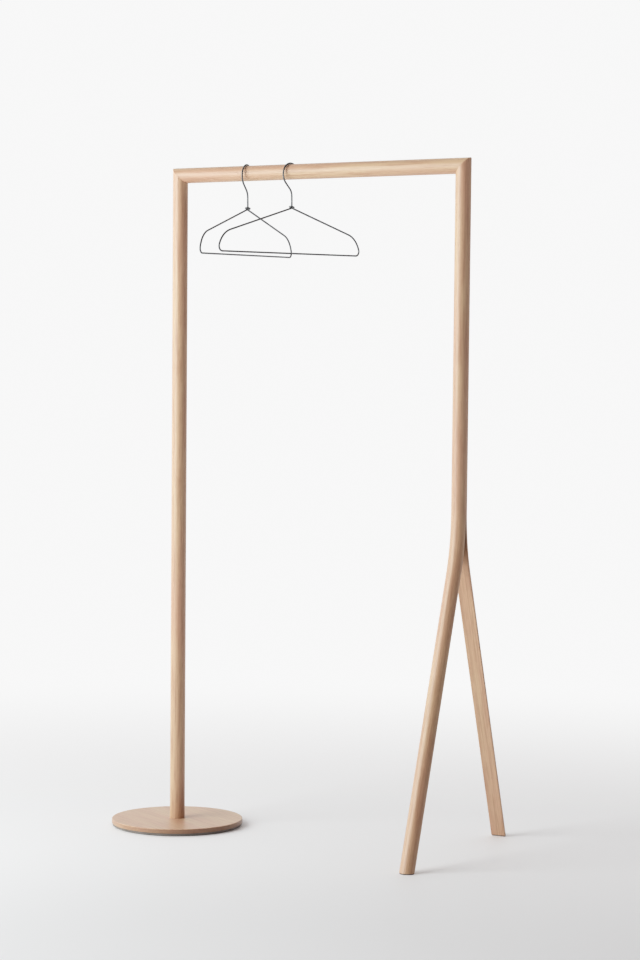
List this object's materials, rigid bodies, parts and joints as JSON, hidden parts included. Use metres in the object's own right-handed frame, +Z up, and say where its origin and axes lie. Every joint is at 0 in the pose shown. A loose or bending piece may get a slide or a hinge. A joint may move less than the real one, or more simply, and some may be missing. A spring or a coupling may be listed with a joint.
{
  "type": "standing coat rack",
  "caption": "Free-standing clothes rack of round wood: a post on a weighted disc, a mitred top rail, and a post that splits into a front and a rear leg, with bent-wire hangers on the rail.",
  "frame": {"origin": "on the floor, at the middle of the rack's footprint", "axes": "+X along the rail, from the disc base to the split legs; +Y to the back; +Z up"},
  "size_m": [0.867, 0.517, 1.5038],
  "materials": {
    "ash_wood": "satin clear lacquer on pale ash",
    "hanger_wire": "satin grey steel wire",
    "plate_steel": "matt dark grey powder coat",
    "zinc_steel": "zinc-plated",
    "felt": "dark grey pressed felt"
  },
  "bodies": {
    "rack": {"base_felt": "felt", "base_plate": "plate_steel", "base_disc": "ash_wood", "plate_screws": "zinc_steel", "base_bolt": "zinc_steel", "post_insert": "zinc_steel", "left_post": "ash_wood", "left_corner_pin": "zinc_steel", "top_rail": "ash_wood", "right_corner_pin": "zinc_steel", "front_leg": "ash_wood", "rear_leg": "ash_wood", "leg_dowels": "ash_wood", "front_leg_pad": "felt", "rear_leg_pad": "felt"},
    "left_hanger": {"left_hanger": "hanger_wire"},
    "right_hanger": {"right_hanger": "hanger_wire"}
  },
  "joints": [
    {"name": "left_hanger_slide", "type": "slide", "parent": "rack", "child": "left_hanger", "axis": [1, 0, 0], "range_m": [-0.145, 0.018]},
    {"name": "right_hanger_slide", "type": "slide", "parent": "rack", "child": "right_hanger", "axis": [1, 0, 0], "range_m": [-0.018, 0.385]}
  ]
}
